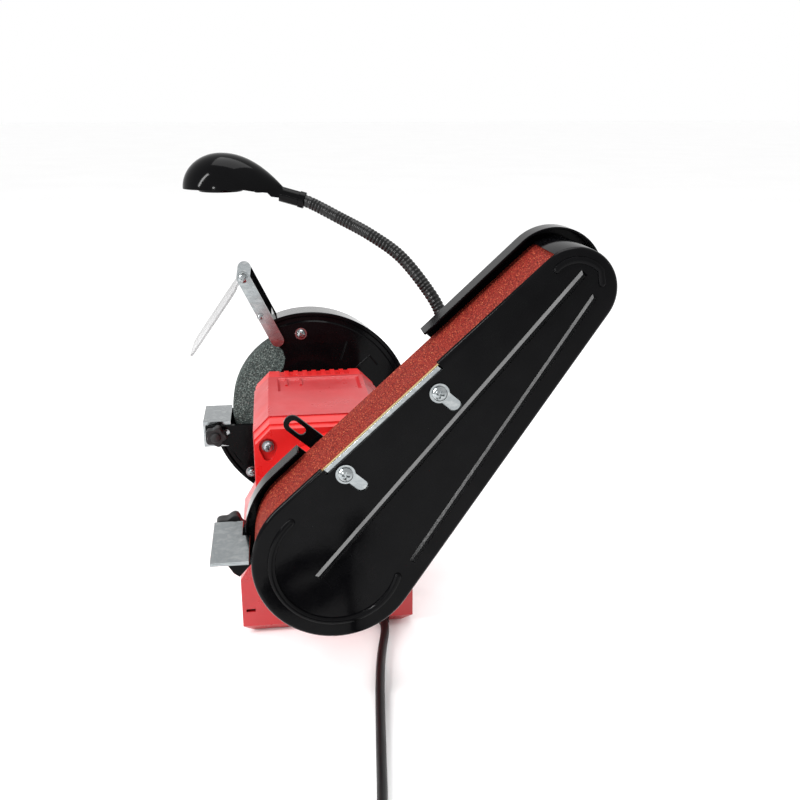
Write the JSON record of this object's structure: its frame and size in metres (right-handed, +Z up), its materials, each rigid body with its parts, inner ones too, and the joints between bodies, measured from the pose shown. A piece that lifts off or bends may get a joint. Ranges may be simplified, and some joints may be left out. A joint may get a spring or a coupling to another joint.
{
  "type": "bench grinder",
  "caption": "Bench grinder with a grinding wheel, guard and eye shield on one shaft end, a tilting belt sander arm on the other, work rests and a gooseneck lamp.",
  "frame": {"origin": "on the bench, on the bottom plate, under the middle of the base", "axes": "+Z up, +X along the motor shaft towards the belt arm, operator at -Y"},
  "size_m": [0.6353, 0.2905, 0.3535],
  "materials": {
    "red_plastic": "satin moulded",
    "red_casting": "satin enamel",
    "black_steel": "gloss powder coat",
    "black_gooseneck": "satin ribbed",
    "black_plastic": "fine texture",
    "lamp_gloss": "high gloss",
    "zinc": "zinc plated",
    "steel": "machined",
    "copper_winding": "enamelled wire",
    "aluminium": "cast and turned",
    "abrasive_cloth": "coated grit",
    "grinding_stone": "vitrified grit",
    "clear_sheet": "clear moulded",
    "lamp_diffuser": "frosted",
    "cord_rubber": "matt"
  },
  "bodies": {
    "stand": {"base_housing": "red_plastic", "bottom_plate": "steel", "switch_frame": "black_plastic", "capacitor": "aluminium", "motor_body": "red_plastic", "end_bell_left": "red_casting", "end_bell_right": "red_casting", "end_bell_screw": "steel", "stator_core": "steel", "stator_winding": "copper_winding", "bearing_left": "steel", "bearing_right": "steel", "guard_shell": "black_steel", "guard_cover": "black_steel", "guard_screw_upper": "zinc", "guard_screw_lower": "zinc", "shield_arm_near": "zinc", "shield_arm_far": "black_steel", "shield_rod": "zinc", "wheel_rest_bracket": "black_steel", "tray_retainer": "steel", "lamp_socket": "black_plastic", "cord_gland": "black_plastic", "cord_lead": "cord_rubber", "cord_coil": "cord_rubber", "plug": "cord_rubber"},
    "shaft": {"motor_shaft": "steel", "rotor_core": "steel", "wheel_flange_inner": "steel", "grinding_wheel": "grinding_stone", "wheel_flange_outer": "steel", "wheel_nut": "steel", "drive_wheel": "aluminium", "drive_nut": "steel"},
    "belt_arm": {"belt_tray": "black_steel", "belt_cover": "black_steel", "slotted_bar": "black_steel", "platen": "zinc", "platen_screw_lower": "zinc", "platen_screw_upper": "zinc", "abrasive_belt": "abrasive_cloth", "tension_spring": "steel", "belt_rest_bracket": "black_steel"},
    "idler_slide": {"idler_carriage": "zinc", "idler_axle": "steel"},
    "idler": {"idler_wheel": "black_plastic"},
    "tracking": {"tracking_knob": "black_plastic"},
    "belt_work_rest": {"belt_rest": "zinc"},
    "belt_rest_clamp": {"belt_rest_knob": "black_plastic"},
    "wheel_work_rest": {"wheel_rest": "zinc"},
    "wheel_rest_clamp": {"wheel_rest_knob": "black_plastic"},
    "shield": {"eye_shield": "clear_sheet"},
    "deflector": {"spark_deflector": "black_steel"},
    "rocker": {"switch_rocker": "black_plastic"},
    "neck_lower": {"neck_lower": "black_gooseneck"},
    "neck_middle": {"neck_middle": "black_gooseneck"},
    "neck_upper": {"neck_upper": "black_gooseneck"},
    "lamp": {"lamp_head": "lamp_gloss", "lamp_lens": "lamp_diffuser"},
    "lamp_button": {"lamp_switch": "black_plastic"}
  },
  "joints": [
    {"name": "shaft_spin", "type": "hinge", "parent": "stand", "child": "shaft", "pos_m": [0, 0, 0.115], "axis": [1, 0, 0], "continuous": true},
    {"name": "belt_arm_tilt", "type": "hinge", "parent": "stand", "child": "belt_arm", "pos_m": [0.12, 0, 0.115], "axis": [1, 0, 0], "range_deg": [-49.2, 40.8]},
    {"name": "idler_tension", "type": "slide", "parent": "belt_arm", "child": "idler_slide", "axis": [0, 0.6534, 0.757], "range_m": [-0.008, 0], "stiffness_N_per_m": 2000, "springref_m": 0.012, "deforming": ["tension_spring"]},
    {"name": "idler_spin", "type": "hinge", "parent": "idler_slide", "child": "idler", "pos_m": [0.159, 0.14725, 0.28559], "axis": [1, 0, 0], "continuous": true},
    {"name": "tracking_turn", "type": "hinge", "parent": "idler_slide", "child": "tracking", "pos_m": [0.12, 0.12807, 0.26337], "axis": [-1, 0, 0], "range_deg": [-180, 180]},
    {"name": "belt_rest_slide", "type": "slide", "parent": "belt_arm", "child": "belt_work_rest", "axis": [0, -1, 0], "range_m": [-0.001, 0.0045]},
    {"name": "belt_rest_knob_turn", "type": "hinge", "parent": "belt_work_rest", "child": "belt_rest_clamp", "pos_m": [0.115, -0.068, 0.109], "axis": [1, 0, 0], "range_deg": [-180, 180]},
    {"name": "wheel_rest_slide", "type": "slide", "parent": "stand", "child": "wheel_work_rest", "axis": [0, -1, 0], "range_m": [-0.0015, 0.006]},
    {"name": "wheel_rest_knob_turn", "type": "hinge", "parent": "wheel_work_rest", "child": "wheel_rest_clamp", "pos_m": [-0.115, -0.091, 0.097], "axis": [1, 0, 0], "range_deg": [-180, 180]},
    {"name": "shield_tilt", "type": "hinge", "parent": "stand", "child": "shield", "pos_m": [-0.1475, -0.059, 0.243], "axis": [-1, 0, 0], "range_deg": [-18, 95]},
    {"name": "deflector_slide", "type": "slide", "parent": "stand", "child": "deflector", "axis": [0, -0.4067, 0.9135], "range_m": [-0.0015, 0.01]},
    {"name": "switch_toggle", "type": "hinge", "parent": "stand", "child": "rocker", "pos_m": [0, -0.063, 0.029], "axis": [1, 0, 0], "range_deg": [-8, 0]},
    {"name": "neck_bend_lower", "type": "hinge", "parent": "stand", "child": "neck_lower", "pos_m": [0, 0.07115, 0.06469], "axis": [1, 0, 0], "range_deg": [-12, 12]},
    {"name": "neck_swing", "type": "hinge", "parent": "neck_lower", "child": "neck_middle", "pos_m": [-0.008, 0.1065, 0.205], "axis": [0, 0, 1], "range_deg": [-40, 40]},
    {"name": "neck_bend_upper", "type": "hinge", "parent": "neck_middle", "child": "neck_upper", "pos_m": [-0.057, 0.0495, 0.2935], "axis": [0.8569, -0.5154, 0], "range_deg": [-25, 25]},
    {"name": "lamp_tilt", "type": "hinge", "parent": "neck_upper", "child": "lamp", "pos_m": [-0.097, -0.017, 0.3175], "axis": [1, 0, 0], "range_deg": [-30, 30]},
    {"name": "lamp_switch_press", "type": "slide", "parent": "lamp", "child": "lamp_button", "axis": [0, 0, 1], "range_m": [0, 0.0012], "stiffness_N_per_m": 300, "springref_m": -0.002}
  ],
  "couplings": [
    {"joint": "idler_spin", "follows": "shaft_spin", "ratio": 2.1429}
  ]
}
